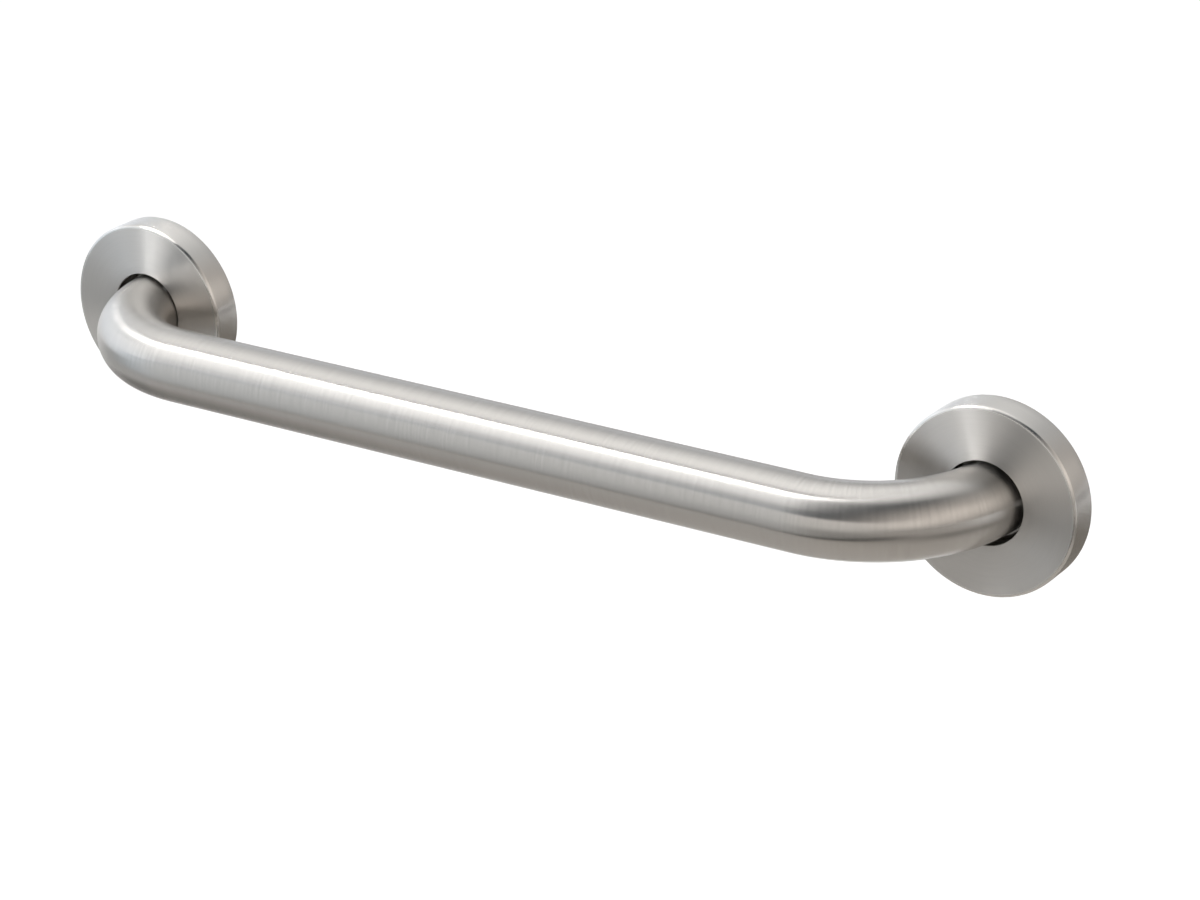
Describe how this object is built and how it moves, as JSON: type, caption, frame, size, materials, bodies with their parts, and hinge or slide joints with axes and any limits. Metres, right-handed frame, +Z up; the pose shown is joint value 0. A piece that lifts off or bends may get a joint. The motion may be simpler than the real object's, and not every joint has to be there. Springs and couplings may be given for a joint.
{
  "type": "grab bar",
  "caption": "Straight wall grab bar in satin stainless steel: a bent tube welded into round wall flanges, each hidden by a sheet cover that slides along the tube.",
  "frame": {"origin": "on the wall plane, midway between the two legs, which is the centre of the four inner screw holes", "axes": "+X along the bar to the right as seen from the room, +Y into the wall, +Z up"},
  "size_m": [0.5, 0.0754, 0.08],
  "materials": {
    "tube_steel": "satin, ground across the tube",
    "cover_steel": "satin, spun in circles",
    "flange_steel": "mill finish sheet",
    "weld_steel": "as welded, brushed clean"
  },
  "bodies": {
    "bar": {"bar_tube": "tube_steel", "left_flange": "flange_steel", "right_flange": "flange_steel", "left_weld": "weld_steel", "right_weld": "weld_steel"},
    "left_cover": {"left_cover": "cover_steel"},
    "right_cover": {"right_cover": "cover_steel"}
  },
  "joints": [
    {"name": "left_cover_slide", "type": "hinge", "parent": "bar", "child": "left_cover", "pos_m": [-0.154, -0.0035, 0], "axis": [0, 0, 1], "range_deg": [0, 90]},
    {"name": "right_cover_slide", "type": "hinge", "parent": "bar", "child": "right_cover", "pos_m": [0.154, -0.0035, 0], "axis": [0, 0, -1], "range_deg": [0, 90]}
  ]
}
